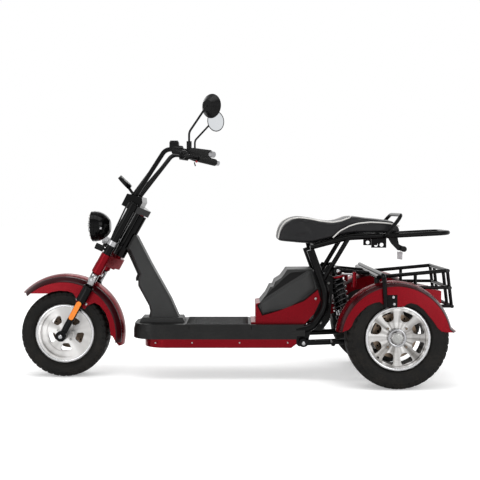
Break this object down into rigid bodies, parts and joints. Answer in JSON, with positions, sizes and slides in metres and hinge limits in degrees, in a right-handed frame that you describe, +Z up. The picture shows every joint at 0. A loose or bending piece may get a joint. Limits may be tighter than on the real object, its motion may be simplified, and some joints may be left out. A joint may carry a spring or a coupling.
{
  "type": "electric trike",
  "caption": "Electric trike with a steered front wheel, low foot deck, saddle, driven rear wheels under fenders, rack and carrier.",
  "frame": {"origin": "on the floor under the middle of the trike's box", "axes": "+X forward, +Y to the rider's left, +Z up"},
  "size_m": [2.0939, 0.8092, 1.345],
  "materials": {
    "gloss_black": "glossy black paint",
    "candy_red": "glossy metallic red paint",
    "grey_plastic": "dark grey moulded plastic, fine grain",
    "deck_plastic": "black moulded plastic with a grey tread surface",
    "black_plastic": "black plastic",
    "seat_leather": "black synthetic leather with white piping",
    "chrome_trim": "polished chrome",
    "reflector_orange": "orange reflector plastic",
    "lamp_glass": "clear lamp glass",
    "grip_rubber": "black rubber grip",
    "mirror_face": "mirror",
    "tyre_rubber": "black tyre rubber",
    "wheel_silver": "silver painted cast wheel",
    "wheel_alloy": "polished aluminium wheel",
    "disc_steel": "brake disc steel with light rust",
    "cable_rubber": "black cable sleeve"
  },
  "bodies": {
    "root": {"head_tube": "gloss_black", "spine": "grey_plastic", "deck_tray": "deck_plastic", "deck_skirt": "candy_red", "battery_cover": "grey_plastic", "battery_box": "candy_red", "back_panel": "black_plastic", "rear_carrier": "gloss_black", "main_frame": "gloss_black", "seat_cushion": "seat_leather", "seat_pan": "black_plastic", "grab_rail": "gloss_black", "swingarm": "gloss_black", "shock_absorbers": "chrome_trim", "shock_springs": "gloss_black", "fender_stays": "gloss_black", "rear_fender_left": "candy_red", "rear_fender_right": "candy_red", "rack": "gloss_black", "tail_box": "candy_red", "foot_mat": "grey_plastic", "rear_hanger": "black_plastic", "shock_reservoirs": "candy_red", "wiring_harness": "cable_rubber"},
    "steering": {"stanchions": "gloss_black", "lower_clamp": "candy_red", "upper_clamp": "gloss_black", "sliders": "gloss_black", "fork_reflectors": "reflector_orange", "front_fender": "candy_red", "brake_caliper": "black_plastic", "headlamp": "gloss_black", "headlamp_lens": "lamp_glass", "lamp_bracket": "chrome_trim", "handlebar": "gloss_black", "grips": "grip_rubber", "bar_ends": "chrome_trim", "bar_controls": "black_plastic", "brake_levers": "gloss_black", "display": "black_plastic", "mirrors": "black_plastic", "mirror_glass": "mirror_face", "side_lamps": "black_plastic", "brake_hose": "cable_rubber", "bar_cables": "cable_rubber"},
    "front_wheel": {"front_tyre": "tyre_rubber", "front_rim": "wheel_silver", "front_disc": "disc_steel"},
    "rear_wheel_left": {"rear_tyre_left": "tyre_rubber", "rear_rim_left": "wheel_alloy", "rear_disc_left": "disc_steel"},
    "rear_wheel_right": {"rear_tyre_right": "tyre_rubber", "rear_rim_right": "wheel_alloy", "rear_disc_right": "disc_steel"}
  },
  "joints": [
    {"name": "steering", "type": "hinge", "parent": "root", "child": "steering", "pos_m": [0.464, 0, 0.792], "axis": [-0.4848, 0, 0.8746], "range_deg": [-38, 38]},
    {"name": "front_wheel_spin", "type": "hinge", "parent": "steering", "child": "front_wheel", "pos_m": [0.834, 0, 0.213], "axis": [0, 1, 0], "continuous": true},
    {"name": "rear_wheel_left_spin", "type": "hinge", "parent": "root", "child": "rear_wheel_left", "pos_m": [-0.745, 0.302, 0.235], "axis": [0, 1, 0], "continuous": true},
    {"name": "rear_wheel_right_spin", "type": "hinge", "parent": "root", "child": "rear_wheel_right", "pos_m": [-0.745, -0.302, 0.235], "axis": [0, 1, 0], "continuous": true}
  ]
}
